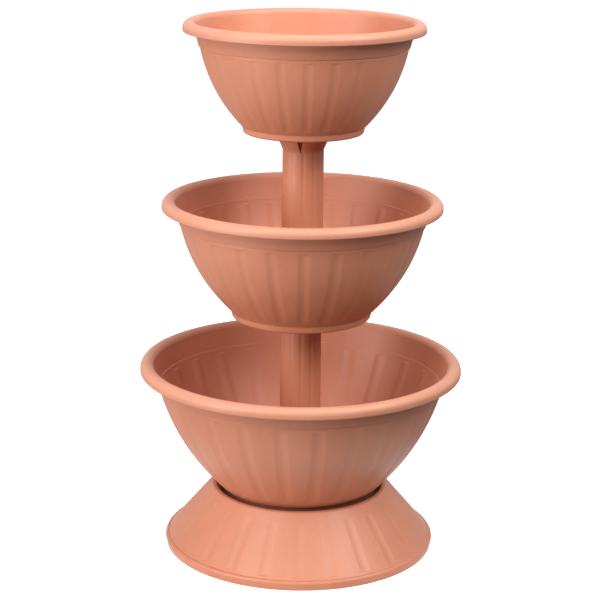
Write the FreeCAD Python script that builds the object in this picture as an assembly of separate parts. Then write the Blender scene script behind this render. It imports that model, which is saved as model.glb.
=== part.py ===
import FreeCAD, Part
import math
import os
from FreeCAD import Vector

os.makedirs("parts", exist_ok=True)

# Sizes are in millimetres. The tower stands on z = 0, its axis is Z, and -Y is its front.

# Moulded walls and fits
wall = 2.5
floor_wall = 3.0
fit_gap = 0.3
key_gap = 0.4

# Base skirt: a cone on a beaded lip, with a tapered well on top where the bottom bowl sits
lip_diameter = 339.4
lip_height = 12.0
lip_round = 4.0
lip_tuck = 1.5
cone_foot_diameter = 330.0
skirt_height = 77.0
skirt_top_diameter = 220.2
skirt_edge_round = 2.0
seat_diameter = 210.6
seat_depth = 10.0
seat_shelf_width = 8.0
gusset_count = 8
gusset_wall = 2.5
gusset_foot_height = 20.0

# Bottom bowl
bottom_rim_diameter = 400.0
bottom_rim_width = 17.6
bottom_rim_drop = 13.0
bottom_collar_depth = 30.0
bottom_collar_diameter = 358.0
bottom_bowl_height = 152.6
bottom_waist_diameter = 199.5
bottom_waist_rise = -7.0
bottom_belly = 10.5
bottom_foot_height = 19.0
bottom_foot_diameter = 190.0
bottom_foot_round = 1.5
bottom_seat_slack = 0.6
bottom_drain_circle = 130.0
bottom_flute_bar_radius = 30.0

# Middle bowl
middle_rim_diameter = 344.0
middle_rim_width = 17.2
middle_rim_drop = 12.0
middle_collar_depth = 30.0
middle_collar_diameter = 302.2
middle_bowl_height = 135.5
middle_waist_diameter = 182.4
middle_waist_rise = 0.0
middle_belly = 9.0
middle_foot_height = 12.5
middle_foot_diameter = 171.0
middle_foot_round = 4.0
middle_drain_circle = 110.0
middle_flute_bar_radius = 25.0

# Top bowl
top_rim_diameter = 291.0
top_rim_width = 15.6
top_rim_drop = 12.2
top_collar_depth = 30.0
top_collar_diameter = 252.6
top_bowl_height = 129.0
top_waist_diameter = 156.0
top_waist_rise = 6.5
top_belly = 7.3
top_foot_height = 5.0
top_foot_diameter = 145.6
top_foot_round = 4.0
top_drain_circle = 100.0
top_flute_bar_radius = 17.0

# Shared details of the bowls
collar_step = 1.2
drain_count = 8
drain_diameter = 6.0

# Flutes: shallow round grooves in the bowls, each with a rib behind it, and in the skirt
flute_count = 24
flute_depth = 1.0
flute_top_margin = 5.0
flute_foot_margin = 1.8
bottom_flute_turn = -82.5
middle_flute_turn = -89.0
top_flute_turn = -88.0
skirt_flute_turn = -90.0
skirt_flute_bar_radius = 18.0
skirt_flute_low = 14.0
skirt_flute_high = 66.5
skirt_flute_depth_low = 1.3
skirt_flute_depth_high = 0.9

# Columns: the same moulding twice
column_length = 219.0
column_foot_diameter = 51.6
column_neck_diameter = 50.4
column_wall = 2.2
column_flute_count = 12
column_flute_radius = 4.2
column_flute_depth = 0.7
column_flute_turn = -90.0

# Column head: four petals that fan out under the bowl above, with slots between them
head_height = 25.0
head_diameter = 70.0
slot_count = 4
slot_height = 26.5
slot_narrow_width = 1.6
slot_flare_height = 25.0
slot_top_width = 16.0
slot_turn = -97.0

# Socket for a column foot, and the spigot and keys under a bowl that a column head holds
socket_height = 35.0
socket_wall = 2.6
spigot_height = 38.0
key_height = 6.0

axis = Vector(0, 0, 1)
middle = Vector(0, 0, 0)

# Heights that follow from the sizes above
seat_z = skirt_height - seat_depth
bottom_floor_z = seat_z + bottom_foot_height
lower_column_z = bottom_floor_z + floor_wall
middle_floor_z = lower_column_z + column_length
upper_column_z = middle_floor_z + floor_wall
top_floor_z = upper_column_z + column_length
total_height = top_floor_z + top_bowl_height


def line(a, b):
    return Part.LineSegment(Vector(a[0], 0, a[1]), Vector(b[0], 0, b[1])).toShape()


def arc(a, m, b):
    return Part.Arc(Vector(a[0], 0, a[1]), Vector(m[0], 0, m[1]), Vector(b[0], 0, b[1])).toShape()


def turned(edges, sweep=360.0):
    """Solid of revolution of a closed outline in the XZ plane, outline points as (radius, z)."""
    return Part.Face(Part.Wire(edges)).revolve(middle, axis, sweep)


def turned_polygon(points, sweep=360.0):
    return turned([line(a, b) for a, b in zip(points, points[1:] + points[:1])], sweep)


def around(shape, count, start=0.0):
    copies = []
    for index in range(count):
        copy = shape.copy()
        copy.rotate(middle, axis, start + index * 360.0 / count)
        copies.append(copy)
    return copies


def bulged_circle(low, high, bulge):
    """Centre and radius of the circle through two outline points, bulging outwards by bulge."""
    chord = math.hypot(high[0] - low[0], high[1] - low[1])
    radius = (chord * chord / 4.0 + bulge * bulge) / (2.0 * bulge)
    out = ((high[1] - low[1]) / chord, -(high[0] - low[0]) / chord)
    reach = radius - bulge
    centre = ((low[0] + high[0]) / 2.0 - out[0] * reach, (low[1] + high[1]) / 2.0 - out[1] * reach)
    return centre, radius


def on_circle(centre, radius, z):
    return (centre[0] + math.sqrt(radius * radius - (z - centre[1]) ** 2), z)


def circle_arc(centre, radius, z_from, z_to):
    z_mid = (z_from + z_to) / 2.0
    points = [on_circle(centre, radius, z) for z in (z_from, z_mid, z_to)]
    return arc(*points)


def slot_half_width(depth):
    """Half the width of a slot in the column head, at a depth below the head's top."""
    flare = max(0.0, 1.0 - depth / slot_flare_height)
    return (slot_narrow_width + flare * (slot_top_width - slot_narrow_width)) / 2.0


def slot_block(depths, side_gap, z_top, radius_in, radius_out):
    """Block with the outline of a head slot between the given depths, side_gap clear of it."""
    right = [(slot_half_width(depth) - side_gap, z_top - depth) for depth in depths]
    left = [(-y, z) for y, z in reversed(right)]
    outline = [Vector(radius_in, y, z) for y, z in right + left]
    block = Part.Face(Part.makePolygon(outline + outline[:1]))
    return block.extrude(Vector(radius_out - radius_in, 0, 0))


def column_flute_cutters(clearance, tapered, height):
    """Round bars that cut the flutes of a column, or with a clearance leave the socket's ribs."""
    foot = column_foot_diameter / 2.0 + column_flute_radius - column_flute_depth
    neck = foot
    if tapered:
        neck = column_neck_diameter / 2.0 + column_flute_radius - column_flute_depth
    start = Vector(foot, 0, 0)
    lean = Vector(neck - foot, 0, column_length - head_height)
    lean.normalize()
    bar = Part.makeCylinder(column_flute_radius - clearance, height, start - lean, lean)
    return around(bar, column_flute_count, column_flute_turn)


def make_column(z_foot):
    foot_r = column_foot_diameter / 2.0
    neck_r = column_neck_diameter / 2.0
    head_r = head_diameter / 2.0
    neck_z = column_length - head_height
    shell = turned_polygon([
        (foot_r - column_wall, 0.0), (foot_r, 0.0), (neck_r, neck_z), (head_r, column_length),
        (head_r - column_wall, column_length), (neck_r - column_wall, neck_z)])
    bars = column_flute_cutters(0.0, True, neck_z + 2.0)
    slot = slot_block([-1.0, 0.0, slot_flare_height, slot_height], 0.0, column_length,
                      neck_r / 2.0, head_r + wall)
    shell = shell.cut(bars + around(slot, slot_count, slot_turn))
    shell.translate(Vector(0, 0, z_foot))
    return shell


def add_socket(bowl, floor_top):
    """Hub on a bowl's floor whose ribs slide into the flutes of the column foot."""
    bore_r = column_foot_diameter / 2.0 + fit_gap
    hub = Part.makeCylinder(bore_r + socket_wall, socket_height)
    bore = Part.makeCylinder(bore_r, socket_height + 1.0)
    bore = bore.cut(column_flute_cutters(fit_gap, False, socket_height + 3.0))
    hub = hub.cut(bore)
    hub.translate(Vector(0, 0, floor_top))
    return bowl.fuse(hub)


def add_spigot(bowl, floor_under):
    """Spigot and keys under a bowl's floor, inside the column head and in its slots."""
    spigot_r = column_neck_diameter / 2.0 - column_wall - fit_gap
    foot_z = floor_under - spigot_height
    spigot = turned_polygon([
        (spigot_r - wall, foot_z), (spigot_r, foot_z), (spigot_r, floor_under),
        (spigot_r - wall, floor_under)])
    drawn_in = (head_diameter - column_neck_diameter) / 2.0 * key_height / head_height
    key = slot_block([0.0, key_height], key_gap, floor_under, spigot_r - wall / 2.0,
                     head_diameter / 2.0 - drawn_in)
    return bowl.fuse([spigot] + around(key, slot_count, slot_turn))


def bar_along(centre, reach, radius, z_low, z_high):
    """Round bar bent along the circle of radius reach about centre, in the XZ plane."""
    low = math.asin((z_low - centre[1]) / reach)
    high = math.asin((z_high - centre[1]) / reach)
    start = Vector(centre[0] + reach * math.cos(low), 0, centre[1] + reach * math.sin(low))
    along = Vector(-math.sin(low), 0, math.cos(low))
    disc = Part.Face(Part.Wire(Part.makeCircle(radius, start, along)))
    return disc.revolve(Vector(centre[0], 0, centre[1]), Vector(0, -1, 0), math.degrees(high - low))


def flute_rib(centre, body_radius, reach, bar_radius, z_low, z_high):
    """Rib on the inner wall behind one flute, as deep as the flute and starting inside the wall."""
    bar = bar_along(centre, reach, bar_radius + wall, z_low, z_high)
    inner = body_radius - wall - flute_depth * 2.0
    outer = body_radius - wall / 2.0
    low_in, high_in = on_circle(centre, inner, z_low), on_circle(centre, inner, z_high)
    low_out, high_out = on_circle(centre, outer, z_low), on_circle(centre, outer, z_high)
    pitch = 360.0 / flute_count
    band = turned([circle_arc(centre, inner, z_low, z_high), line(high_in, high_out),
                   circle_arc(centre, outer, z_low, z_high), line(low_out, low_in)], pitch)
    band.rotate(middle, axis, -pitch / 2.0)
    return bar.common(band)


def make_bowl(floor_under, rim_d, rim_width, rim_drop, collar_depth, collar_d, height, waist_d,
              waist_rise, belly, foot_height, foot_d, foot_round, flute_turn, flute_bar_radius,
              drain_circle):
    crown_z = floor_under + height
    rim_r = rim_d / 2.0
    dome_r = rim_width / 2.0
    dome_x = rim_r - dome_r
    dome_z = crown_z - dome_r
    lip_z = crown_z - rim_drop
    mouth_r = rim_r - rim_width
    collar_r = collar_d / 2.0
    collar_z = crown_z - collar_depth
    body_top = (collar_r - collar_step, collar_z)
    waist = (waist_d / 2.0, floor_under + waist_rise)
    foot_r = foot_d / 2.0
    foot_z = floor_under - foot_height
    turn_z = foot_z + foot_round
    turn = foot_round * math.sqrt(0.5)
    turn_in = (foot_round - wall) * math.sqrt(0.5)
    floor_top = floor_under + floor_wall
    centre, body_radius = bulged_circle(waist, body_top, belly)
    inner_radius = body_radius - wall
    inner_top = on_circle(centre, inner_radius, collar_z)
    waist_in = on_circle(centre, inner_radius, waist[1])

    def inner_wall(z):
        if z >= waist[1]:
            return on_circle(centre, inner_radius, z)
        share = (z - turn_z) / (waist[1] - turn_z)
        return (foot_r - wall + share * (waist_in[0] - foot_r + wall), z)

    inner_low_z = max(waist[1], floor_top)
    edges = [
        arc((foot_r - foot_round, foot_z), (foot_r - foot_round + turn, turn_z - turn), (foot_r, turn_z)),
        line((foot_r, turn_z), waist),
        circle_arc(centre, body_radius, waist[1], collar_z),
        line(body_top, (collar_r, collar_z)),
        line((collar_r, collar_z), (mouth_r + wall, dome_z)),
        arc((mouth_r + wall, dome_z), (dome_x, crown_z - wall), (rim_r - wall, dome_z)),
        line((rim_r - wall, dome_z), (rim_r - wall, lip_z)),
        line((rim_r - wall, lip_z), (rim_r, lip_z)),
        line((rim_r, lip_z), (rim_r, dome_z)),
        arc((rim_r, dome_z), (dome_x, crown_z), (mouth_r, dome_z)),
        line((mouth_r, dome_z), (collar_r - wall, collar_z)),
        line((collar_r - wall, collar_z), inner_top),
        circle_arc(centre, inner_radius, collar_z, inner_low_z),
    ]
    if inner_low_z > floor_top:
        edges.append(line(waist_in, inner_wall(floor_top)))
    edges += [
        line(inner_wall(floor_top), (0.0, floor_top)),
        line((0.0, floor_top), (0.0, floor_under)),
        line((0.0, floor_under), inner_wall(floor_under)),
    ]
    foot_start = inner_wall(floor_under)
    if waist[1] < floor_under:
        edges.append(circle_arc(centre, inner_radius, floor_under, waist[1]))
        foot_start = waist_in
    if foot_round > wall:
        edges += [
            line(foot_start, (foot_r - wall, turn_z)),
            arc((foot_r - wall, turn_z), (foot_r - foot_round + turn_in, turn_z - turn_in),
                (foot_r - foot_round, foot_z + wall)),
            line((foot_r - foot_round, foot_z + wall), (foot_r - foot_round, foot_z)),
        ]
    else:
        edges += [
            line(foot_start, (foot_r - wall, foot_z)),
            line((foot_r - wall, foot_z), (foot_r - foot_round, foot_z)),
        ]
    bowl = turned(edges)
    reach = body_radius - flute_depth + flute_bar_radius
    low_z = max(waist[1], floor_under) + flute_foot_margin
    high_z = collar_z - flute_top_margin
    rib = flute_rib(centre, body_radius, reach, flute_bar_radius, low_z, high_z)
    flute = bar_along(centre, reach, flute_bar_radius, low_z, high_z)
    drain = Part.makeCylinder(drain_diameter / 2.0, floor_wall * 3.0,
                              Vector(drain_circle / 2.0, 0, floor_under - floor_wall))
    drains = around(drain, drain_count, 180.0 / drain_count)
    bowl = bowl.cut(around(flute, flute_count, flute_turn) + drains)
    return bowl.fuse(around(rib, flute_count, flute_turn))


def make_skirt():
    lip_r = lip_diameter / 2.0
    cone_r = cone_foot_diameter / 2.0
    top_r = skirt_top_diameter / 2.0
    seat_r = seat_diameter / 2.0
    seat_low_r = bottom_foot_diameter / 2.0 + bottom_seat_slack
    run = cone_r - top_r
    rise = skirt_height - lip_height
    slope = math.hypot(run, rise)
    inset = wall * slope / rise

    def skirt_r(z):
        return cone_r - run * (z - lip_height) / rise

    shelf_under = seat_z - floor_wall
    pocket_z = skirt_height - floor_wall
    shelf_in_r = seat_low_r - seat_shelf_width
    lip_z = lip_height - lip_round
    lip_turn = lip_round * math.sqrt(0.5)
    turn = skirt_edge_round * math.sqrt(0.5)
    outer_start = (top_r + skirt_edge_round * run / slope, skirt_height - skirt_edge_round * rise / slope)
    edges = [
        line((lip_r - lip_tuck - wall, 0.0), (lip_r - lip_tuck, 0.0)),
        line((lip_r - lip_tuck, 0.0), (lip_r, lip_z)),
        arc((lip_r, lip_z), (lip_r - lip_round + lip_turn, lip_z + lip_turn),
            (lip_r - lip_round, lip_height)),
        line((lip_r - lip_round, lip_height), (cone_r, lip_height)),
        line((cone_r, lip_height), outer_start),
        line(outer_start, (top_r - skirt_edge_round, skirt_height)),
        line((top_r - skirt_edge_round, skirt_height), (seat_r + skirt_edge_round, skirt_height)),
        arc((seat_r + skirt_edge_round, skirt_height),
            (seat_r + skirt_edge_round - turn, skirt_height - skirt_edge_round + turn),
            (seat_r, skirt_height - skirt_edge_round)),
        line((seat_r, skirt_height - skirt_edge_round), (seat_low_r, seat_z)),
        line((seat_low_r, seat_z), (shelf_in_r, seat_z)),
        line((shelf_in_r, seat_z), (shelf_in_r, shelf_under)),
        line((shelf_in_r, shelf_under), (seat_low_r + wall, shelf_under)),
        line((seat_low_r + wall, shelf_under), (seat_r + wall, pocket_z)),
        line((seat_r + wall, pocket_z), (skirt_r(pocket_z) - inset, pocket_z)),
        line((skirt_r(pocket_z) - inset, pocket_z), (cone_r - inset, lip_height)),
        line((cone_r - inset, lip_height), (lip_r - lip_tuck - wall, lip_height - wall)),
        line((lip_r - lip_tuck - wall, lip_height - wall), (lip_r - lip_tuck - wall, 0.0)),
    ]
    skirt = turned(edges)

    def bar_end(z, depth):
        out = skirt_flute_bar_radius - depth
        return Vector(skirt_r(z) + out * rise / slope, 0, z + out * run / slope)

    low = bar_end(skirt_flute_low, skirt_flute_depth_low)
    along = bar_end(skirt_flute_high, skirt_flute_depth_high) - low
    flute = Part.makeCylinder(skirt_flute_bar_radius, along.Length, low, along)
    skirt = skirt.cut(around(flute, flute_count, skirt_flute_turn))
    into_wall = inset * 0.6
    corners = [(shelf_in_r + wall, shelf_under), (skirt_r(shelf_under) - into_wall, shelf_under),
               (skirt_r(gusset_foot_height) - into_wall, gusset_foot_height)]
    outline = [Vector(r, -gusset_wall / 2.0, z) for r, z in corners]
    gusset = Part.Face(Part.makePolygon(outline + outline[:1])).extrude(Vector(0, gusset_wall, 0))
    return skirt.fuse(around(gusset, gusset_count, 180.0 / gusset_count))


def make_bottom_bowl():
    bowl = make_bowl(bottom_floor_z, bottom_rim_diameter, bottom_rim_width, bottom_rim_drop,
                     bottom_collar_depth, bottom_collar_diameter, bottom_bowl_height,
                     bottom_waist_diameter, bottom_waist_rise, bottom_belly, bottom_foot_height,
                     bottom_foot_diameter, bottom_foot_round, bottom_flute_turn,
                     bottom_flute_bar_radius, bottom_drain_circle)
    return add_socket(bowl, bottom_floor_z + floor_wall)


def make_middle_bowl():
    bowl = make_bowl(middle_floor_z, middle_rim_diameter, middle_rim_width, middle_rim_drop,
                     middle_collar_depth, middle_collar_diameter, middle_bowl_height,
                     middle_waist_diameter, middle_waist_rise, middle_belly, middle_foot_height,
                     middle_foot_diameter, middle_foot_round, middle_flute_turn,
                     middle_flute_bar_radius, middle_drain_circle)
    return add_spigot(add_socket(bowl, middle_floor_z + floor_wall), middle_floor_z)


def make_top_bowl():
    bowl = make_bowl(top_floor_z, top_rim_diameter, top_rim_width, top_rim_drop,
                     top_collar_depth, top_collar_diameter, top_bowl_height,
                     top_waist_diameter, top_waist_rise, top_belly, top_foot_height,
                     top_foot_diameter, top_foot_round, top_flute_turn, top_flute_bar_radius,
                     top_drain_circle)
    return add_spigot(bowl, top_floor_z)


pieces = {
    "base_skirt": make_skirt(),
    "bottom_bowl": make_bottom_bowl(),
    "lower_column": make_column(lower_column_z),
    "middle_bowl": make_middle_bowl(),
    "upper_column": make_column(upper_column_z),
    "top_bowl": make_top_bowl(),
}

for name, shape in pieces.items():
    shape.exportStep("parts/%s.step" % name)
    box = shape.BoundBox
    print("%-13s valid %s, solids %d, %.1f cm3, z %.1f to %.1f" % (
        name, shape.isValid(), len(shape.Solids), shape.Volume / 1000.0, box.ZMin, box.ZMax))
print("total height %.1f mm" % total_height)
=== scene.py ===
import bmesh
import bpy
import math
from mathutils import Matrix, Vector


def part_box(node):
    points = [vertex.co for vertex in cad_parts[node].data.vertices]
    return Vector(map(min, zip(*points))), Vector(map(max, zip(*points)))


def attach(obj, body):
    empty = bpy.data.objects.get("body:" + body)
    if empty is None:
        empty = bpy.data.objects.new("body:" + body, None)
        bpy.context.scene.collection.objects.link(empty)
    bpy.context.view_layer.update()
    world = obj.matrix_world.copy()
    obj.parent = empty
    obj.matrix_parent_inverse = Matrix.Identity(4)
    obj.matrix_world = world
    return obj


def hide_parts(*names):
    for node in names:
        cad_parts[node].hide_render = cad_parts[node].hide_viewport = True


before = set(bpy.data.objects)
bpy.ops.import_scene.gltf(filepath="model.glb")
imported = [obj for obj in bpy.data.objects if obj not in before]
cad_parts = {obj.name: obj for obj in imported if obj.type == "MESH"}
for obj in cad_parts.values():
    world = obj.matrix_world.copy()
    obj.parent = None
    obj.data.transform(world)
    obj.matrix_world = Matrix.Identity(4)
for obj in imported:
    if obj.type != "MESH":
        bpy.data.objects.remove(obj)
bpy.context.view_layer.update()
mm = 0.001
fullTurn = 2.0 * math.pi
print("frame loaded:", len(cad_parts), "nodes")


# Lengths below are in millimetres unless a line says otherwise.
moulding = {
    "wall": 2.5,
    "floor": 3.0,
    "fitGap": 0.3,
    "keyGap": 0.4,
    "insideBox": 0.1,        # how far a rim stays inside the CAD's box
    "collarGroove": 1.0,     # height of the fine groove under a bowl's collar
    "collarUndercut": 0.7,
    "columnsPerFlute": 18,   # mesh columns from one flute to the next
    "widestFlute": 0.27,     # half a flute's width at most, as a share of the way to the next
    "rowSpacing": 6.5,
    "filletSteps": 3,
    "longestFillet": 0.48,   # of the straight run beside a corner
    "sameSpot": 0.05,        # points this near to a surface lie on it
    "drainPatch": 1.45,      # faces this many hole radii from a drain's middle make room for it
}

# Where the mesh columns stand, from a flute's middle (0) over its edge (1) to half way to the next
grooveColumns = (0.0, 0.30, 0.56, 0.78, 0.93, 1.05)
landColumns = (0.12, 0.36, 0.66, 1.0)


def smooth(share):
    share = min(1.0, max(0.0, share))
    return share * share * (3.0 - 2.0 * share)


def between(low, high, share):
    return low + (high - low) * share


def nodeSize(name):
    low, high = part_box(name)
    return (high.x - low.x) / 2.0 / mm - moulding["insideBox"], low.z / mm, high.z / mm


def filleted(corners):
    # Each corner is (radius, height, rounding); a rounding of 0 keeps the point as it is.
    segments = moulding["filletSteps"]
    points = []
    for index, (radius, height, rounding) in enumerate(corners):
        here = Vector((radius, height))
        if rounding <= 0.0:
            points.append(here)
            continue
        before = Vector(corners[index - 1][:2]) - here
        after = Vector(corners[(index + 1) % len(corners)][:2]) - here
        half = before.angle(after) / 2.0
        longest = moulding["longestFillet"] * min(before.length, after.length)
        tangent = min(rounding / math.tan(half), longest)
        reach = tangent * math.tan(half)
        middle = here + (before.normalized() + after.normalized()).normalized() * reach / math.sin(half)
        start = here + before.normalized() * tangent - middle
        end = here + after.normalized() * tangent - middle
        sweep = start.angle(end)
        for step in range(segments + 1):
            share = step / segments
            mixed = start * math.sin((1.0 - share) * sweep) + end * math.sin(share * sweep)
            points.append(middle + mixed / math.sin(sweep))
    return points


def arcPoints(middle, radius, fromDegrees, toDegrees, segments):
    points = []
    for step in range(segments + 1):
        angle = math.radians(between(fromDegrees, toDegrees, step / segments))
        points.append((middle[0] + radius * math.cos(angle), middle[1] + radius * math.sin(angle), 0.0))
    return points


def spun(outline, sectors, perSector, closed):
    # Turns the outline through one sector, then repeats the sector round the axis.
    mesh = bmesh.new()
    verts = [mesh.verts.new((point.x * mm, 0.0, point.y * mm)) for point in outline]
    edges = [mesh.edges.new(pair) for pair in zip(verts, verts[1:])]
    if closed:
        edges.append(mesh.edges.new((verts[-1], verts[0])))
    sector = fullTurn / sectors
    bmesh.ops.spin(mesh, geom=verts + edges, cent=(0, 0, 0), axis=(0, 0, 1), dvec=(0, 0, 0),
                   angle=sector, steps=perSector)
    bmesh.ops.spin(mesh, geom=mesh.verts[:] + mesh.edges[:] + mesh.faces[:], cent=(0, 0, 0), axis=(0, 0, 1),
                   dvec=(0, 0, 0), angle=fullTurn - sector, steps=sectors - 1, use_duplicate=True)
    bmesh.ops.remove_doubles(mesh, verts=mesh.verts, dist=2e-6)
    bmesh.ops.recalc_face_normals(mesh, faces=mesh.faces)
    return mesh


def gatherColumns(mesh, flutes, turn, halfWidthAt):
    # Slides the mesh columns sideways so that enough of them lie in each flute and on its edges.
    perFlute = moulding["columnsPerFlute"]
    steps = flutes * perFlute
    half = perFlute // 2
    pitch = fullTurn / flutes
    for vert in mesh.verts:
        radius = math.hypot(vert.co.x, vert.co.y)
        if radius < 1e-5:
            continue
        column = round(math.atan2(vert.co.y, vert.co.x) / (fullTurn / steps)) % steps
        flute, local = divmod(column + half, perFlute)
        local -= half
        edge = min(halfWidthAt(vert.co.z / mm) * mm / radius, pitch * moulding["widestFlute"])
        place = abs(local)
        if place < len(grooveColumns):
            offset = grooveColumns[place] * edge
        else:
            start = grooveColumns[-1] * edge
            offset = between(start, pitch / 2.0, landColumns[place - len(grooveColumns)])
        angle = flute * pitch + math.radians(turn) + math.copysign(offset, local)
        vert.co.x = radius * math.cos(angle)
        vert.co.y = radius * math.sin(angle)


def fluteOffset(vert, flutes, turn):
    # Angle from the nearest flute's middle, in radians
    pitch = fullTurn / flutes
    angle = math.atan2(vert.co.y, vert.co.x) - math.radians(turn)
    return abs(angle - round(angle / pitch) * pitch)


def fluteSection(aside):
    # Share of the full depth, from 1 in a flute's middle to 0 at its edge, with no crease there
    return (1.0 - min(1.0, aside * aside)) ** 2


def setRadius(vert, radius):
    scale = radius * mm / math.hypot(vert.co.x, vert.co.y)
    vert.co.x *= scale
    vert.co.y *= scale


def finishPiece(node, mesh, body, material, edgeSoftening=0.0):
    name = node + "_piece"
    data = bpy.data.meshes.new(name)
    mesh.to_mesh(data)
    mesh.free()
    data.shade_smooth()
    data.materials.append(material)
    piece = bpy.data.objects.new(name, data)
    bpy.context.scene.collection.objects.link(piece)
    if edgeSoftening:
        bevel = piece.modifiers.new("softEdges", "BEVEL")
        bevel.width = edgeSoftening * mm
        bevel.segments = 2
        bevel.limit_method = "ANGLE"
        bevel.angle_limit = math.radians(50.0)
    piece.modifiers.new("faceWeight", "WEIGHTED_NORMAL")
    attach(piece, body)
    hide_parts(node)
    print("made", name, len(data.polygons), "faces")


# Shader building: sums on a Wire add Math nodes, and Recipe.node adds any other node.
class Wire:
    def __init__(self, recipe, socket):
        self.recipe = recipe
        self.socket = socket

    def sum(self, operation, first, second):
        return self.recipe.node("ShaderNodeMath", {"operation": operation}, [first, second])

    def __add__(self, other):
        return self.sum("ADD", self, other)

    def __sub__(self, other):
        return self.sum("SUBTRACT", self, other)

    def __rsub__(self, other):
        return self.sum("SUBTRACT", other, self)

    def __mul__(self, other):
        return self.sum("MULTIPLY", self, other)

    __radd__ = __add__
    __rmul__ = __mul__


class Recipe:
    def __init__(self, tree):
        self.tree = tree
        self.tree.nodes.clear()

    def node(self, kind, settings=None, inputs=None, output=0):
        made = self.tree.nodes.new(kind)
        for key, value in (settings or {}).items():
            setattr(made, key, value)
        pairs = enumerate(inputs) if isinstance(inputs, list) else (inputs or {}).items()
        for key, value in pairs:
            if isinstance(value, Wire):
                self.tree.links.new(value.socket, made.inputs[key])
            else:
                made.inputs[key].default_value = value
        return Wire(self, made.outputs[output]) if made.outputs else None

    def mixColour(self, factor, first, second):
        return self.node("ShaderNodeMix", {"data_type": "RGBA"}, {0: factor, 6: first, 7: second}, 2)


terracotta = {
    "colour": (0.612, 0.222, 0.121),
    "paler": (0.655, 0.250, 0.143),
    "deeper": (0.565, 0.194, 0.100),
    "patternStep": (0.37, 0.21, 0.0),     # metres that the pattern moves from one piece to the next
    "cloudScale": 7.0,                    # broad clouds in the pigment, per metre
    "streakScale": (26.0, 26.0, 3.2),
    "speckScale": 266.0,
    "grainScale": 950.0,                  # fine moulded grain, per metre
    "shadeShares": (0.7, 0.5, 0.3),       # clouds, streaks and specks in the colour
    "grainHeight": 0.00006,               # metres
    "grainStrength": 0.35,
    "grainShares": (0.6, 0.4),            # grain and specks in the relief
    "roughness": 0.46,
    "roughnessSwing": 0.08,
    "reflection": 1.54,
    "paintedGapShade": (0.15, 0.05, 0.03),          # painted shade, near black, in the gap where two pieces sit in each other
    "paintedGapShadeShare": 0.7,
    "paintedRimHighlight": (0.73, 0.36, 0.25),       # painted highlight that pales the rims' crowns
    "paintedRimHighlightShare": 0.4,
    "paintedRimHighlightIn": (19.0, 10.0),           # starts and is full this far inside the rim's edge
    "paintedRimHighlightDown": (17.0, 3.0),          # and this far under its crown
    "paintedRimHighlightLeast": 0.25,
}


def terracottaPlastic(name, number, seat=None, rim=None):
    # The seat and the rim are each (radius, height): inside and under the seat the colour gets a painted
    # shade, and the rim gets a painted highlight.
    look = terracotta
    material = bpy.data.materials.new(name)
    material.use_nodes = True
    recipe = Recipe(material.node_tree)
    place = recipe.node("ShaderNodeTexCoord", output=3)
    shift = tuple(step * number for step in look["patternStep"])
    moved = recipe.node("ShaderNodeMapping", None, {"Vector": place, "Location": shift})
    clouds = recipe.node("ShaderNodeTexNoise", None, {
        "Vector": moved, "Scale": look["cloudScale"], "Detail": 4.0, "Roughness": 0.55})
    stretched = recipe.node("ShaderNodeMapping", None, {"Vector": moved, "Scale": look["streakScale"]})
    streaks = recipe.node("ShaderNodeTexNoise", None, {
        "Vector": stretched, "Scale": 1.0, "Detail": 3.0, "Roughness": 0.6, "Distortion": 0.4})
    grain = recipe.node("ShaderNodeTexNoise", None, {
        "Vector": moved, "Scale": look["grainScale"], "Detail": 2.0, "Roughness": 0.6})
    specks = recipe.node("ShaderNodeTexNoise", None, {
        "Vector": moved, "Scale": look["speckScale"], "Detail": 3.0, "Roughness": 0.7})

    cloudShare, streakShare, speckShare = look["shadeShares"]
    mottle = clouds * cloudShare + streaks * streakShare + specks * speckShare
    shade = recipe.node("ShaderNodeClamp", None, {"Value": mottle * 2.0 - 1.0})
    lower = recipe.mixColour(shade, (*look["deeper"], 1.0), (*look["colour"], 1.0))
    colour = recipe.mixColour(shade, lower, (*look["paler"], 1.0))

    flat = recipe.node("ShaderNodeVectorMath", {"operation": "MULTIPLY"}, [place, (1.0, 1.0, 0.0)])
    away = recipe.node("ShaderNodeVectorMath", {"operation": "LENGTH"}, [flat], "Value")
    height = recipe.node("ShaderNodeSeparateXYZ", None, [place], "Z")
    # painted shade: darkens the colour inside and below the seat, where the gap between two pieces lies in
    # shadow
    if seat:
        inside = recipe.node("ShaderNodeMath", {"operation": "LESS_THAN"}, [away, seat[0] * mm])
        below = recipe.node("ShaderNodeMath", {"operation": "LESS_THAN"}, [height, seat[1] * mm])
        colour = recipe.mixColour(inside * below * look["paintedGapShadeShare"], colour, (*look["paintedGapShade"], 1.0))
    # painted highlight: pales the colour towards the rim's outer edge, most near its crown
    if rim:
        inStart, inFull = ((rim[0] - inset) * mm for inset in look["paintedRimHighlightIn"])
        lowStart, lowFull = ((rim[1] - drop) * mm for drop in look["paintedRimHighlightDown"])
        outer = recipe.node("ShaderNodeMapRange", {"interpolation_type": "SMOOTHSTEP"}, {
            "Value": away, "From Min": inStart, "From Max": inFull})
        upper = recipe.node("ShaderNodeMapRange", {"interpolation_type": "SMOOTHSTEP"}, {
            "Value": height, "From Min": lowStart, "From Max": lowFull, "To Min": look["paintedRimHighlightLeast"]})
        colour = recipe.mixColour(outer * upper * look["paintedRimHighlightShare"], colour, (*look["paintedRimHighlight"], 1.0))

    swing = look["roughnessSwing"]
    rough = look["roughness"] + (clouds - 0.5) * swing + (specks - 0.5) * swing
    grainShare, speckShare = look["grainShares"]
    relief = recipe.node("ShaderNodeBump", None, {
        "Height": grain * grainShare + specks * speckShare,
        "Strength": look["grainStrength"], "Distance": look["grainHeight"]})
    shader = recipe.node("ShaderNodeBsdfPrincipled", None, {
        "Base Color": colour, "Roughness": rough, "Normal": relief, "IOR": look["reflection"]})
    recipe.node("ShaderNodeOutputMaterial", None, {"Surface": shader})
    return material


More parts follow.
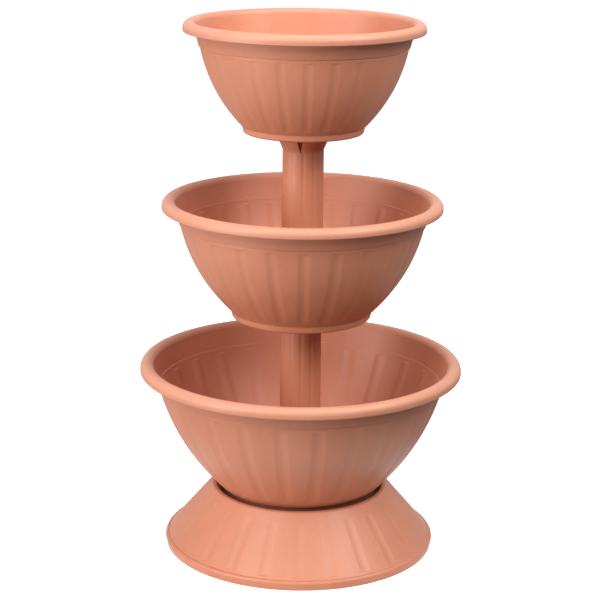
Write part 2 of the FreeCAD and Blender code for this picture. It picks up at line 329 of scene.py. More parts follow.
def bodyCircle(low, high, belly):
    # Circle through two outline points that stands belly outside the straight line between them
    chord = Vector(high) - Vector(low)
    radius = (chord.length ** 2 / 4.0 + belly * belly) / (2.0 * belly)
    out = Vector((chord.y, -chord.x)).normalized()
    return (Vector(low) + Vector(high)) / 2.0 - out * (radius - belly), radius


def onCircle(middle, radius, height):
    return (middle.x + math.sqrt(radius * radius - (height - middle.y) ** 2), height, 0.0)


def wallRows(low, high, fluteLow, fluteHigh, topFade, footFade):
    # Heights of the mesh rows on a bowl's wall, closer together where the flutes end
    count = max(2, round((high - low) / moulding["rowSpacing"]))
    rows = [between(low, high, step / count) for step in range(count + 1)]
    rows = [row for row in rows if not fluteHigh - topFade - 1.2 < row < fluteHigh + 0.9 or row == high]
    rows += [fluteHigh - topFade * share for share in (0.0, 0.25, 0.5, 0.75, 1.0)]
    rows += [fluteHigh + 0.5, fluteHigh - topFade - 1.0]
    rows += [fluteLow + footFade * share for share in (0.0, 0.3, 0.7)]
    kept = []
    for row in sorted(rows):
        if low <= row <= high and (not kept or row - kept[-1] > 0.2):
            kept.append(row)
    return kept


def pressWallFlutes(mesh, size, middle, bodyRadius, fluteLow, fluteHigh, ribLow):
    # Pushes the outer and the inner wall in together, so each groove has its rib inside.
    for vert in mesh.verts:
        radius = math.hypot(vert.co.x, vert.co.y) / mm
        height = vert.co.z / mm
        spot = Vector((radius, height)) - middle
        fromOuter = spot.length - bodyRadius
        if min(abs(fromOuter), abs(fromOuter + moulding["wall"])) > moulding["sameSpot"]:
            continue
        low = fluteLow if abs(fromOuter) < moulding["sameSpot"] else ribLow
        aside = fluteOffset(vert, size["flutes"], size["fluteTurn"]) * radius / size["fluteHalfWidth"]
        if aside >= 1.0 or not low < height < fluteHigh:
            continue
        ends = smooth((fluteHigh - height) / size["topFade"]) * smooth((height - low) / size["footFade"])
        depth = size["fluteDepth"] * fluteSection(aside) * ends
        pressed = middle + spot * (spot.length - depth) / spot.length
        setRadius(vert, pressed.x)
        vert.co.z = pressed.y * mm


def drillDrains(mesh, circle, count, diameter, levels):
    # Takes patches of faces out of the floor's top and underside and joins each pair of openings.
    radius = diameter / 2.0 * mm
    angles = [(drain + 0.5) * fullTurn / count for drain in range(count)]
    spots = [Vector((math.cos(angle), math.sin(angle))) * circle * mm for angle in angles]
    patch = set()
    for face in mesh.faces:
        middle = face.calc_center_median()
        if abs(middle.xy.length - circle * mm) > radius * 2.5 or abs(face.normal.z) < 0.99:
            continue
        if any((middle.xy - spot).length < radius * moulding["drainPatch"] for spot in spots):
            if any(abs(middle.z - level * mm) < 1e-6 for level in levels):
                patch.add(face)
    border = [edge for edge in {edge for face in patch for edge in face.edges}
              if sum(face in patch for face in edge.link_faces) == 1]
    bmesh.ops.delete(mesh, geom=list(patch), context="FACES")
    made = bmesh.ops.extrude_edge_only(mesh, edges=border)["geom"]
    fresh = {}
    for vert in made:
        if isinstance(vert, bmesh.types.BMVert):
            nearest = min(range(count), key=lambda drain: (vert.co.xy - spots[drain]).length)
            vert.co.xy = spots[nearest] + (vert.co.xy - spots[nearest]).normalized() * radius
            fresh[vert] = nearest
    for drain in range(count):
        rings = [edge for edge in made if isinstance(edge, bmesh.types.BMEdge)
                 and all(fresh.get(vert) == drain for vert in edge.verts)]
        bmesh.ops.bridge_loops(mesh, edges=rings)
    bmesh.ops.recalc_face_normals(mesh, faces=mesh.faces)


def barFluteRadius(offset, barDistance, barRadius):
    # Radius of a groove that a round bar beside the column leaves, at an angle from its middle
    across = barDistance * math.sin(offset)
    if abs(across) >= barRadius:
        return None
    return barDistance * math.cos(offset) - math.sqrt(barRadius ** 2 - across ** 2)


# The two columns are the same moulding.
columnSize = {
    "length": 219.0,
    "footDiameter": 51.6,
    "neckDiameter": 50.4,
    "wall": 2.2,
    "flutes": 12,
    "fluteTurn": -89.0,       # degrees
    "fluteRadius": 4.2,
    "fluteDepth": 0.7,
    "fluteHalfWidth": 3.2,
    "fluteLookDepth": 0.5,
    "headHeight": 25.0,
    "headDiameter": 74.0,
    "neckBlend": 2.0,
    "fluteFade": 9.0,
    "fluteEnd": 3.0,          # how far the flutes run past the neck
    "slots": 4,
    "slotTurn": -97.0,        # degrees
    "slotHeight": 26.5,
    "slotWidth": 1.2,
    "slotTopWidth": 12.0,
    "slotFlareHeight": 25.0,
    "headRowSpacing": 1.6,
    "slotFootRows": (0.0, 0.8, 2.1),      # mesh rows just under a slot's foot
    "shaftStart": 5.0,        # the even rows of the shaft start this far under it
    "shaftRows": 28,
    "slotReach": 18.0,        # degrees beside a slot over which the mesh makes room for it
    "sectors": 12,
    "perSector": 24,
    "edgeSoftening": 0.25,
}

spigotSize = {
    "height": 38.0,
    "keyHeight": 6.0,
    "socketHeight": 35.0,
    "socketWall": 2.6,
    "footRound": 1.0,
    "insideRound": 0.5,
    "spigotRootRound": 0.3,
    "socketRootRound": 1.0,
    "socketEdgeRound": 0.6,
    "boreRound": 0.8,
}

# Roundings of the small edges that all bowls share
bowlRound = {
    "underFloor": 0.8,
    "footInside": 1.0,
    "footEdge": 0.5,
    "footPlainEdge": 0.4,
    "groove": 0.3,
    "collar": 0.6,
    "rimLip": 1.2,
    "rimLipInside": 0.7,
    "insideLine": 0.45,
    "waistInside": 1.5,
}


def slotHalfWidth(depth):
    flare = max(0.0, 1.0 - depth / columnSize["slotFlareHeight"])
    return between(columnSize["slotWidth"], columnSize["slotTopWidth"], flare) / 2.0


def columnRadius(above):
    # Outer radius of a column at a height above its foot, flutes left out
    neckZ = columnSize["length"] - columnSize["headHeight"]
    foot, neck, head = (columnSize[key] / 2.0 for key in ("footDiameter", "neckDiameter", "headDiameter"))
    blend = columnSize["neckBlend"]
    past = above - neckZ
    if past < blend:
        past = max(0.0, past + blend) ** 2 / (4.0 * blend)
    plain = between(foot, neck, min(1.0, above / neckZ))
    return plain + (head - neck) * past / columnSize["headHeight"]


def makeColumn(name, body, material):
    size = columnSize
    footZ = nodeSize(name)[1]
    length = size["length"]
    neckZ = length - size["headHeight"]
    bottomRow = length - size["slotHeight"]
    headRows = round(size["headHeight"] / size["headRowSpacing"])
    shaftRows = size["shaftRows"]
    rows = [between(length, neckZ, step / headRows) for step in range(headRows + 1)]
    rows += [bottomRow - below for below in size["slotFootRows"]]
    rows += [between(bottomRow - size["shaftStart"], 0.0, step / shaftRows) for step in range(shaftRows + 1)]
    outline = [Vector((columnRadius(row), row)) for row in sorted(rows)]
    mesh = spun(outline, size["sectors"], size["perSector"], False)
    if mesh.faces[0].normal.xy.dot(mesh.faces[0].calc_center_median().xy) < 0.0:
        bmesh.ops.reverse_faces(mesh, faces=mesh.faces)
    step = fullTurn / (size["sectors"] * size["perSector"])
    slotPitch = fullTurn / size["slots"]
    edge = 2.0 * step   # four mesh columns lie in each slot
    reach = math.radians(size["slotReach"])
    for vert in mesh.verts:
        above = vert.co.z / mm
        depth = length - above
        angle = math.atan2(vert.co.y, vert.co.x)
        slot = round(angle / slotPitch)
        aside = angle - slot * slotPitch
        wide = edge
        if depth <= size["slotHeight"] + 0.01:
            wide = slotHalfWidth(depth) / columnRadius(above)
        if abs(aside) <= edge * 1.01:
            turned = abs(aside) / edge * wide
        elif abs(aside) < reach:
            turned = between(wide, reach, (abs(aside) - edge) / (reach - edge))
        else:
            turned = abs(aside)
        radius = columnRadius(above) * mm
        if abs(above - bottomRow) < 0.01 and abs(aside) <= edge * 1.01:   # the slot's round foot
            half = size["slotWidth"] / 2.0
            vert.co.z += half * (1.0 - math.sqrt(max(0.0, 1.0 - (aside / edge) ** 2))) * mm
        angle = slot * slotPitch + math.copysign(turned, aside) + math.radians(size["slotTurn"])
        vert.co.x = radius * math.cos(angle)
        vert.co.y = radius * math.sin(angle)
    gone = []   # the slots come out before the wall gets its thickness
    for face in mesh.faces:
        spot = face.calc_center_median()
        if spot.z / mm < bottomRow + 0.3:
            continue
        aside = math.atan2(spot.y, spot.x) - math.radians(size["slotTurn"])
        aside -= round(aside / slotPitch) * slotPitch
        if abs(aside) < slotHalfWidth(length - spot.z / mm) / columnRadius(spot.z / mm):
            gone.append(face)
    bmesh.ops.delete(mesh, geom=gone, context="FACES")
    mesh.normal_update()
    bmesh.ops.solidify(mesh, geom=mesh.faces[:], thickness=size["wall"] * mm)
    fluteTop = neckZ + size["fluteEnd"]
    for vert in mesh.verts:
        above = vert.co.z / mm
        radius = math.hypot(vert.co.x, vert.co.y) / mm
        if radius < columnRadius(above) - 0.6 or above > fluteTop:   # the inner wall, or the head
            continue
        aside = fluteOffset(vert, size["flutes"], size["fluteTurn"]) * radius / size["fluteHalfWidth"]
        fade = smooth((fluteTop - above) / size["fluteFade"])
        setRadius(vert, radius - size["fluteLookDepth"] * fluteSection(aside) * fade)
    bmesh.ops.translate(mesh, vec=(0, 0, footZ * mm), verts=mesh.verts)
    finishPiece(name, mesh, body, material, size["edgeSoftening"])


def floorRows(inner, outer, circle):
    # Radii of the floor's mesh rings from the inside out, closer together at the drain holes
    rows = [circle + step for step in (-5.0, -2.5, 0.0, 2.5, 5.0)]
    near, far = rows[0], rows[-1]
    for share in (0.33, 0.67):
        rows += [between(inner, near, share), between(far, outer, share)]
    return sorted(rows)


def makeBowl(name, body, material, size):
    wall, floorWall = moulding["wall"], moulding["floor"]
    rimRadius, _, crown = nodeSize(name)
    floorUnder = crown - size["height"]
    floorTop = floorUnder + floorWall
    collarZ = crown - size["collarDepth"]
    collarRadius = size["collarDiameter"] / 2.0
    domeRadius = size["rimWidth"] / 2.0
    domeX = rimRadius - domeRadius
    domeZ = crown - domeRadius
    lipZ = crown - size["rimDrop"]
    mouth = rimRadius - size["rimWidth"]
    waist = (size["waistDiameter"] / 2.0, floorUnder + size["waistRise"])
    bodyTop = (collarRadius - size["collarStep"], collarZ)
    footRadius = size["footDiameter"] / 2.0
    footZ = floorUnder - size["footHeight"]
    footRound = size["footRound"]
    turnZ = footZ + footRound
    middle, bodyRadius = bodyCircle(waist, bodyTop, size["belly"])
    innerRadius = bodyRadius - wall
    innerLow = max(waist[1], floorTop)
    fluteLow = max(waist[1], floorUnder) + size["footMargin"]
    fluteHigh = collarZ - size["topMargin"]
    grooveZ = collarZ - moulding["collarGroove"]
    rows = wallRows(waist[1] + 1.5, grooveZ - 0.7, fluteLow, fluteHigh, size["topFade"], size["footFade"])
    innerRows = [row for row in rows if row > innerLow + 1.0]
    waistIn = onCircle(middle, innerRadius, waist[1])[0]
    bandX = footRadius + size["bandFlare"]
    bandDepth = size["bandDepth"]

    def innerWall(height):
        if height >= waist[1]:
            return onCircle(middle, innerRadius, height)[0]
        return between(bandX - wall, waistIn, max(0.0, 1.0 - (waist[1] - height) / bandDepth))

    # The outline runs from the axis below the floor, round the outside, and back to the axis.
    corners = [(0.0, floorUnder, 0.0)]
    spigotTop = 0.0
    if size["spigot"]:
        spigotTop = columnSize["neckDiameter"] / 2.0 - columnSize["wall"] - moulding["fitGap"]
        spigotFoot = floorUnder - spigotSize["height"]
        corners += [
            (spigotTop - wall, floorUnder, 0.0),
            (spigotTop - wall, spigotFoot, spigotSize["insideRound"]),
            (spigotTop, spigotFoot, spigotSize["footRound"]),
            (spigotTop, floorUnder, spigotSize["spigotRootRound"])]
    underEdge = innerWall(floorUnder) if waist[1] < floorUnder else bandX - wall
    corners += [(row, floorUnder, 0.0) for row in floorRows(spigotTop, underEdge, size["drainCircle"])]
    corners += [(underEdge, floorUnder, bowlRound["underFloor"])]
    if waist[1] < floorUnder:
        corners += [onCircle(middle, innerRadius, between(floorUnder, waist[1], 0.35)),
                    (bandX - wall, waist[1] + wall * 0.8, bowlRound["footInside"])]
    if footRound > wall:
        corners += [(footRadius - wall, turnZ, bowlRound["footInside"]),
                    (footRadius - footRound, footZ + wall, 0.0),
                    (footRadius - footRound, footZ, bowlRound["footEdge"])]
        corners += arcPoints((footRadius - footRound, turnZ), footRound, -75.0, 0.0, 5)
    else:
        corners += [(footRadius - wall, footZ, bowlRound["footPlainEdge"]), (footRadius, footZ, footRound)]
    corners += [(bandX, waist[1] - bandDepth, size["bandRound"])]
    corners += [(waist[0], waist[1], size["waistRound"])]
    corners += [onCircle(middle, bodyRadius, row) for row in rows]
    grooveX = bodyTop[0] - moulding["collarUndercut"]
    corners += [
        (grooveX, grooveZ, bowlRound["groove"]),
        (grooveX, collarZ, bowlRound["groove"]),
        (collarRadius, collarZ, bowlRound["collar"]),
        (mouth + wall, domeZ, 0.0)]
    corners += arcPoints((domeX, domeZ), domeRadius - wall, 165.0, 0.0, 8)
    corners += [(rimRadius - wall, lipZ, bowlRound["rimLipInside"]), (rimRadius, lipZ, bowlRound["rimLip"])]
    corners += arcPoints((domeX, domeZ), domeRadius, 0.0, 180.0, 18)
    corners += [
        (between(mouth, collarRadius - wall, 0.5), between(domeZ, collarZ, 0.5), 0.0),
        (collarRadius - wall, collarZ, bowlRound["collar"]),
        (onCircle(middle, innerRadius, collarZ - 0.1)[0], collarZ - 0.1, bowlRound["insideLine"])]
    corners += [onCircle(middle, innerRadius, row) for row in reversed(innerRows)]
    if innerLow > floorTop:
        corners += [(waistIn, waist[1], bowlRound["waistInside"])]
    topEdge = innerWall(floorTop)
    corners += [(topEdge, floorTop, size["floorRound"])]
    hub = 0.0
    if size["socket"]:
        bore = columnSize["footDiameter"] / 2.0 + moulding["fitGap"]
        hub = bore + spigotSize["socketWall"]
    corners += [(row, floorTop, 0.0) for row in reversed(floorRows(hub, topEdge, size["drainCircle"]))]
    if size["socket"]:
        hubTop = floorTop + spigotSize["socketHeight"]
        corners += [
            (hub, floorTop, spigotSize["socketRootRound"]), (hub, hubTop, spigotSize["socketEdgeRound"]),
            (bore, hubTop, spigotSize["boreRound"]), (bore, floorTop, 0.0)]
    corners += [(0.0, floorTop, 0.0)]

    mesh = spun(filleted(corners), size["flutes"], moulding["columnsPerFlute"], False)
    gatherColumns(mesh, size["flutes"], size["fluteTurn"], lambda height: size["fluteHalfWidth"])
    pressWallFlutes(mesh, size, middle, bodyRadius, fluteLow, fluteHigh, max(fluteLow, innerLow + 2.2))
    if size["socket"]:
        pressSocketRibs(mesh, bore, floorTop)
    drillDrains(mesh, size["drainCircle"], size["drains"], size["drainDiameter"], (floorUnder, floorTop))
    if size["spigot"]:
        addKeys(mesh, floorUnder, spigotTop)
    finishPiece(name, mesh, body, material)


def pressSocketRibs(mesh, bore, floorTop):
    # Ribs in the socket that lie in the flutes of the column foot
    barRadius = columnSize["fluteRadius"] - moulding["fitGap"]
    distance = columnSize["footDiameter"] / 2.0 + columnSize["fluteRadius"] - columnSize["fluteDepth"]
    for vert in mesh.verts:
        radius = math.hypot(vert.co.x, vert.co.y) / mm
        if abs(radius - bore) > moulding["sameSpot"] or vert.co.z / mm < floorTop + 0.01:
            continue
        offset = fluteOffset(vert, columnSize["flutes"], columnSize["fluteTurn"])
        rib = barFluteRadius(offset, distance, barRadius)
        if rib is not None and rib < bore:
            setRadius(vert, rib)


def addKeys(mesh, floorUnder, spigotRadius):
    # Keys beside the spigot that stand in the slots of the column head
    height = spigotSize["keyHeight"]
    head, neck = columnSize["headDiameter"] / 2.0, columnSize["neckDiameter"] / 2.0
    far = head - (head - neck) * height / columnSize["headHeight"]
    near = spigotRadius - moulding["wall"] / 2.0
    for key in range(columnSize["slots"]):
        made = bmesh.ops.create_cube(mesh, size=1.0)["verts"]
        for vert in made:
            atTop = vert.co.z > 0.0
            width = slotHalfWidth(0.0 if atTop else height) - moulding["keyGap"]
            vert.co = Vector(((near if vert.co.x < 0.0 else far) * mm,
                              math.copysign(width, vert.co.y) * mm,
                              (floorUnder + 0.5 if atTop else floorUnder - height) * mm))
        turn = math.radians(columnSize["slotTurn"]) + key * fullTurn / columnSize["slots"]
        bmesh.ops.rotate(mesh, cent=(0, 0, 0), matrix=Matrix.Rotation(turn, 3, "Z"), verts=made)


skirtSize = {
    "lipHeight": 12.0,
    "lipTuck": 1.5,
    "lipRound": 4.0,
    "coneFootDiameter": 330.0,
    "topDiameter": 220.2,
    "topRound": 3.4,
    "seatDiameter": 210.6,
    "seatFootDiameter": 191.2,
    "seatDepth": 10.0,
    "seatShelfWidth": 8.0,
    "seatRound": 2.0,
    "flutes": 24,
    "fluteTurn": -90.0,      # degrees
    "fluteLow": 13.6,
    "fluteHigh": 67.5,
    "depthLow": 0.8,
    "depthHigh": 0.55,
    "halfWidthLow": 7.6,
    "halfWidthHigh": 7.0,
    "footFade": 1.6,
    "topFade": 4.0,
    "gussets": 8,
    "gussetWall": 2.5,
    "gussetFoot": 20.0,
    "gussetSink": 0.6,       # share of the skirt's wall that a gusset reaches into
    # painted shade in the seat where the bottom bowl's foot stands: (radius, height) inside and under which
    # the colour darkens
    "paintedShadeSeat": (105.2, 80.0),
}


def addGussets(mesh, corners):
    # Upright plates inside the skirt that carry its seat
    half = skirtSize["gussetWall"] / 2.0 * mm
    plates = bmesh.new()
    outline = [plates.verts.new((radius * mm, -half, height * mm)) for radius, height in corners]
    plate = plates.faces.new(outline)
    grown = bmesh.ops.extrude_face_region(plates, geom=[plate], use_keep_orig=True)["geom"]
    moved = [part for part in grown if isinstance(part, bmesh.types.BMVert)]
    bmesh.ops.translate(plates, vec=(0, 2.0 * half, 0), verts=moved)
    bmesh.ops.recalc_face_normals(plates, faces=plates.faces)
    pitch = fullTurn / skirtSize["gussets"]
    turn = Matrix.Rotation(pitch / 2.0, 3, "Z")
    bmesh.ops.rotate(plates, cent=(0, 0, 0), matrix=turn, verts=plates.verts)
    bmesh.ops.spin(plates, geom=plates.verts[:] + plates.edges[:] + plates.faces[:], cent=(0, 0, 0),
                   axis=(0, 0, 1), dvec=(0, 0, 0), angle=fullTurn - pitch, steps=skirtSize["gussets"] - 1,
                   use_duplicate=True)
    data = bpy.data.meshes.new("gussets")
    plates.to_mesh(data)
    plates.free()
    mesh.from_mesh(data)
    bpy.data.meshes.remove(data)


def makeSkirt(material):
    size = skirtSize
    wall, floorWall = moulding["wall"], moulding["floor"]
    lip, lowest, top = nodeSize("base_skirt")
    coneFoot, topRadius = size["coneFootDiameter"] / 2.0, size["topDiameter"] / 2.0
    seat, seatFoot = size["seatDiameter"] / 2.0, size["seatFootDiameter"] / 2.0
    run, rise = coneFoot - topRadius, top - size["lipHeight"]
    slope = math.hypot(run, rise)
    inset = wall * slope / rise
    seatZ = top - size["seatDepth"]

    def slopeRadius(height):
        return coneFoot - run * (height - size["lipHeight"]) / rise

    # Heights of the mesh rows on the cone, closer together where the flutes end
    low, high = size["fluteLow"], size["fluteHigh"]
    rows = [low - 0.8, low] + [low + size["footFade"] * share for share in (0.3, 0.65, 1.0)] + [low + 3.2]
    rows += [between(low + 5.5, high - size["topFade"] - 2.0, step / 9.0) for step in range(10)]
    rows += [high - size["topFade"] * share for share in (1.0, 0.8, 0.6, 0.4, 0.2, 0.0)] + [high + 2.5]
    shelfUnder = seatZ - floorWall
    pocket = top - floorWall
    shelfIn = seatFoot - size["seatShelfWidth"]
    lipRound = size["lipRound"]
    lipIn = lip - size["lipTuck"] - wall
    halfWay = between(pocket, size["lipHeight"], 0.5)
    corners = [(lipIn, lowest, 0.5), (lip - size["lipTuck"], lowest, 0.9)]
    corners += arcPoints((lip - lipRound, size["lipHeight"] - lipRound), lipRound, 0.0, 88.0, 6)
    corners += [(coneFoot, size["lipHeight"] - 0.1, 0.35)]
    corners += [(slopeRadius(row), row, 0.0) for row in sorted(rows)]
    corners += [
        (topRadius, top, size["topRound"]), (seat, top, size["seatRound"]), (seatFoot, seatZ, 0.5),
        (shelfIn, seatZ, 0.8), (shelfIn, shelfUnder, 0.6), (seatFoot + wall, shelfUnder, 0.0),
        (seat + wall, pocket, 0.0), (slopeRadius(pocket) - inset, pocket, 0.0),
        (slopeRadius(halfWay) - inset, halfWay, 0.0),
        (coneFoot - inset, size["lipHeight"], 1.0), (lipIn, size["lipHeight"] - wall, 1.0)]
    mesh = spun(filleted(corners), size["flutes"], moulding["columnsPerFlute"], True)

    def halfWidth(height):
        share = min(1.0, max(0.0, (height - low) / (high - low)))
        return between(size["halfWidthLow"], size["halfWidthHigh"], share)

    gatherColumns(mesh, size["flutes"], size["fluteTurn"], halfWidth)
    for vert in mesh.verts:
        radius, height = math.hypot(vert.co.x, vert.co.y) / mm, vert.co.z / mm
        if not low < height < high or abs(radius - slopeRadius(height)) > moulding["sameSpot"]:
            continue
        aside = fluteOffset(vert, size["flutes"], size["fluteTurn"]) * radius / halfWidth(height)
        if aside < 1.0:
            ends = smooth((height - low) / size["footFade"]) * smooth((high - height) / size["topFade"])
            depth = between(size["depthLow"], size["depthHigh"], (height - low) / (high - low))
            depth *= fluteSection(aside) * ends
            setRadius(vert, radius - depth * rise / slope)
            vert.co.z -= depth * run / slope * mm
    sunk = inset * size["gussetSink"]
    gussetTop = shelfUnder + 0.5
    addGussets(mesh, [(shelfIn + wall, gussetTop),
                      (slopeRadius(gussetTop) - sunk, gussetTop),
                      (slopeRadius(size["gussetFoot"]) - sunk, size["gussetFoot"])])
    finishPiece("base_skirt", mesh, "base", material)


bottomBowl = {
    "height": 152.6, "rimWidth": 17.6, "rimDrop": 13.0,
    "collarDepth": 30.0, "collarDiameter": 358.0, "collarStep": 1.2,
    "waistDiameter": 199.5, "waistRise": -7.0, "waistRound": 0.8, "belly": 10.5,
    "footHeight": 19.0, "footDiameter": 190.0, "footRound": 1.5, "floorRound": 2.0,
    "bandDepth": 1.2, "bandFlare": 0.3, "bandRound": 0.5,
    "flutes": 24, "fluteTurn": -82.5, "fluteDepth": 1.0, "fluteHalfWidth": 9.3,
    "topMargin": 5.0, "footMargin": 1.8, "topFade": 1.6, "footFade": 2.6,
    "drains": 8, "drainDiameter": 6.0, "drainCircle": 65.0, "socket": True, "spigot": False,
    # painted shade inside and under the seat, and a painted highlight on the rim's crown, each (radius,
    # height)
    "paintedShadeSeat": (99.6, 78.7), "paintedHighlightRim": (200.0, 238.6),
}

middleBowl = {
    "height": 135.5, "rimWidth": 17.2, "rimDrop": 12.0,
    "collarDepth": 30.0, "collarDiameter": 302.2, "collarStep": 1.2,
    "waistDiameter": 182.4, "waistRise": 0.0, "waistRound": 3.0, "belly": 9.0,
    "footHeight": 12.5, "footDiameter": 172.6, "footRound": 3.2, "floorRound": 2.0,
    "bandDepth": 3.8, "bandFlare": 1.3, "bandRound": 2.4,
    "flutes": 24, "fluteTurn": -89.0, "fluteDepth": 0.9, "fluteHalfWidth": 8.0,
    "topMargin": 4.6, "footMargin": 1.4, "topFade": 1.4, "footFade": 2.2,
    "drains": 8, "drainDiameter": 6.0, "drainCircle": 55.0, "socket": True, "spigot": True,
    # painted highlight on the rim's crown: (radius, height) of the rim
    "paintedShadeSeat": None, "paintedHighlightRim": (172.0, 443.5),
}

topBowl = {
    "height": 129.0, "rimWidth": 15.6, "rimDrop": 12.2,
    "collarDepth": 30.0, "collarDiameter": 252.6, "collarStep": 1.2,
    "waistDiameter": 156.0, "waistRise": 6.5, "waistRound": 3.0, "belly": 7.3,
    "footHeight": 5.0, "footDiameter": 146.8, "footRound": 3.2, "floorRound": 2.0,
    "bandDepth": 3.4, "bandFlare": 1.2, "bandRound": 2.4,
    "flutes": 24, "fluteTurn": -88.0, "fluteDepth": 0.7, "fluteHalfWidth": 6.8,
    "topMargin": 4.6, "footMargin": 1.4, "topFade": 1.2, "footFade": 2.2,
    "drains": 8, "drainDiameter": 6.0, "drainCircle": 50.0, "socket": False, "spigot": True,
    # painted highlight on the rim's crown: (radius, height) of the rim
    "paintedShadeSeat": None, "paintedHighlightRim": (145.5, 659.0),
}


def bowlPlastic(name, number, size):
    return terracottaPlastic(name, number, size["paintedShadeSeat"], size["paintedHighlightRim"])


makeSkirt(terracottaPlastic("skirtPlastic", 1.0, skirtSize["paintedShadeSeat"]))
makeBowl("bottom_bowl", "bottom_tier", bowlPlastic("bottomBowlPlastic", 2.0, bottomBowl), bottomBowl)
makeColumn("lower_column", "lower_post", terracottaPlastic("lowerColumnPlastic", 3.0))
makeBowl("middle_bowl", "middle_tier", bowlPlastic("middleBowlPlastic", 4.0, middleBowl), middleBowl)
makeColumn("upper_column", "upper_post", terracottaPlastic("upperColumnPlastic", 5.0))
makeBowl("top_bowl", "top_tier", bowlPlastic("topBowlPlastic", 6.0, topBowl), topBowl)


stageLook = {
    "cameraPlace": (0.0, -2.196, 0.913),   # metres
    "cameraTurn": 0.0008,                  # radians
    "cameraTilt": 15.243,                  # degrees below level
    "cameraRoll": 0.012,                   # radians
    "lens": 110.3,
    "floorSize": 14.0,                     # metres, as the reaches below are
    "floorWhite": 0.8,
    "floorBounceNear": 0.62,               # how much light the floor gives back beside the base
    "floorBounceLeft": 0.46,
    "floorBounceRight": 0.07,
    "sideReach": 0.35,
    "besideBase": (0.19, 0.34),
    "underBase": (0.160, 0.163),           # no glow under the base
    "floorGlowNear": 0.80,
    "glowReach": (0.25, 0.9),
    "floorGlossLoss": 0.75,
    "roomLight": 0.0,
}


def makeCamera():
    look = stageLook
    data = bpy.data.cameras.new("photoCamera")
    data.lens = look["lens"]
    data.sensor_width = 36.0
    data.dof.use_dof = False
    data.clip_end = 60.0
    camera = bpy.data.objects.new("photoCamera", data)
    bpy.context.scene.collection.objects.link(camera)
    camera.matrix_world = (Matrix.Translation(look["cameraPlace"])
                           @ Matrix.Rotation(look["cameraTurn"], 4, "Z")
                           @ Matrix.Rotation(math.radians(90.0 - look["cameraTilt"]), 4, "X")
                           @ Matrix.Rotation(look["cameraRoll"], 4, "Z"))
    bpy.context.scene.camera = camera


# Each softbox: place and size in metres, power in watts; all face the same point.
softboxAim = Vector((0.0, 0.0, 0.36))
softboxes = {
    "keyLow": {"place": (-2.05, -1.2, 0.62), "size": (1.4, 1.2), "power": 32.0},
    "keyHigh": {"place": (-1.3, -1.3, 1.9), "size": (1.2, 1.2), "power": 26.0},
    "front": {"place": (0.19, -2.14, 2.16), "size": (1.5, 1.5), "power": 17.0},
    "rightFront": {"place": (1.51, -1.26, 1.74), "size": (1.2, 1.2), "power": 17.0},
    "right": {"place": (1.43, -0.58, 2.2), "size": (1.0, 1.0), "power": 25.0},
    "overhead": {"place": (0.05, -0.15, 2.62), "size": (0.8, 0.8), "power": 19.0},
}


def makeLights():
    for name, look in softboxes.items():
        data = bpy.data.lights.new(name, "AREA")
        data.shape = "RECTANGLE"
        data.size, data.size_y = look["size"]
        data.energy = look["power"]
        light = bpy.data.objects.new(name, data)
        bpy.context.scene.collection.objects.link(light)
        light.location = look["place"]
        toward = softboxAim - Vector(look["place"])
        light.rotation_euler = toward.to_track_quat("-Z", "Y").to_euler()
        light.visible_camera = False


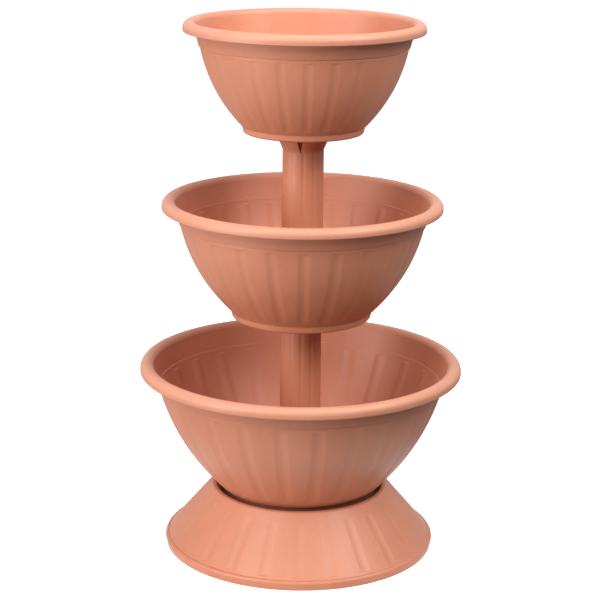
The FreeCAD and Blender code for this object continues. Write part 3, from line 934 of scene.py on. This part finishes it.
def makeFloor():
    look = stageLook
    mesh = bmesh.new()
    bmesh.ops.create_grid(mesh, x_segments=1, y_segments=1, size=look["floorSize"] / 2.0)
    data = bpy.data.meshes.new("floor")
    mesh.to_mesh(data)
    mesh.free()
    floor = bpy.data.objects.new("floor", data)
    bpy.context.scene.collection.objects.link(floor)
    material = bpy.data.materials.new("paleFloor")
    material.use_nodes = True
    recipe = Recipe(material.node_tree)
    place = recipe.node("ShaderNodeTexCoord", output=3)
    away = recipe.node("ShaderNodeVectorMath", {"operation": "LENGTH"}, [place], "Value")
    across = recipe.node("ShaderNodeSeparateXYZ", None, [place], "X")

    def ramp(value, reach, low=0.0, high=1.0, interpolation="SMOOTHSTEP"):
        return recipe.node("ShaderNodeMapRange", {"interpolation_type": interpolation}, {
            "Value": value, "From Min": reach[0], "From Max": reach[1], "To Min": low, "To Max": high})

    farShare = ramp(away, look["glowReach"], look["floorGlowNear"])
    outsideBase = ramp(away, look["underBase"], interpolation="LINEAR")
    glow = recipe.node("ShaderNodeEmission", None, {
        "Color": (1.0, 1.0, 1.0, 1.0), "Strength": farShare * outsideBase})
    white = recipe.node("ShaderNodeBsdfDiffuse", None, {"Color": (*[look["floorWhite"]] * 3, 1.0)})
    seen = recipe.node("ShaderNodeAddShader", None, [glow, white])

    sideReach = look["sideReach"]
    sides = ramp(across, (-sideReach, sideReach), look["floorBounceLeft"], look["floorBounceRight"])
    apart = ramp(away, look["besideBase"])
    near = look["floorBounceNear"]
    dull = recipe.node("ShaderNodeBsdfDiffuse", None, {"Color": near + (sides - near) * apart})
    direct = recipe.node("ShaderNodeLightPath", output="Is Camera Ray")
    glossy = recipe.node("ShaderNodeLightPath", output="Is Glossy Ray")
    through = recipe.node("ShaderNodeLightPath", output="Is Transmission Ray")
    mirrored = glossy * (1.0 - apart * look["floorGlossLoss"])
    mixed = recipe.node("ShaderNodeMixShader", None, [direct + mirrored + through, dull, seen])
    recipe.node("ShaderNodeOutputMaterial", None, {"Surface": mixed})
    data.materials.append(material)


def makeRoom():
    world = bpy.data.worlds.new("paleRoom")
    bpy.context.scene.world = world
    world.use_nodes = True
    recipe = Recipe(world.node_tree)
    direct = recipe.node("ShaderNodeLightPath", output="Is Camera Ray")
    glossy = recipe.node("ShaderNodeLightPath", output="Is Glossy Ray")
    through = recipe.node("ShaderNodeLightPath", output="Is Transmission Ray")
    level = direct + through + glossy
    dim = recipe.node("ShaderNodeBackground", None, {"Strength": stageLook["roomLight"]})
    bright = recipe.node("ShaderNodeBackground", None, {"Color": (1.0, 1.0, 1.0, 1.0), "Strength": 1.0})
    mixed = recipe.node("ShaderNodeMixShader", None, [level, dim, bright])
    recipe.node("ShaderNodeOutputWorld", None, {"Surface": mixed})


makeCamera()
makeLights()
makeFloor()
makeRoom()
bpy.context.scene.view_settings.view_transform = "Standard"
print("stage ready")
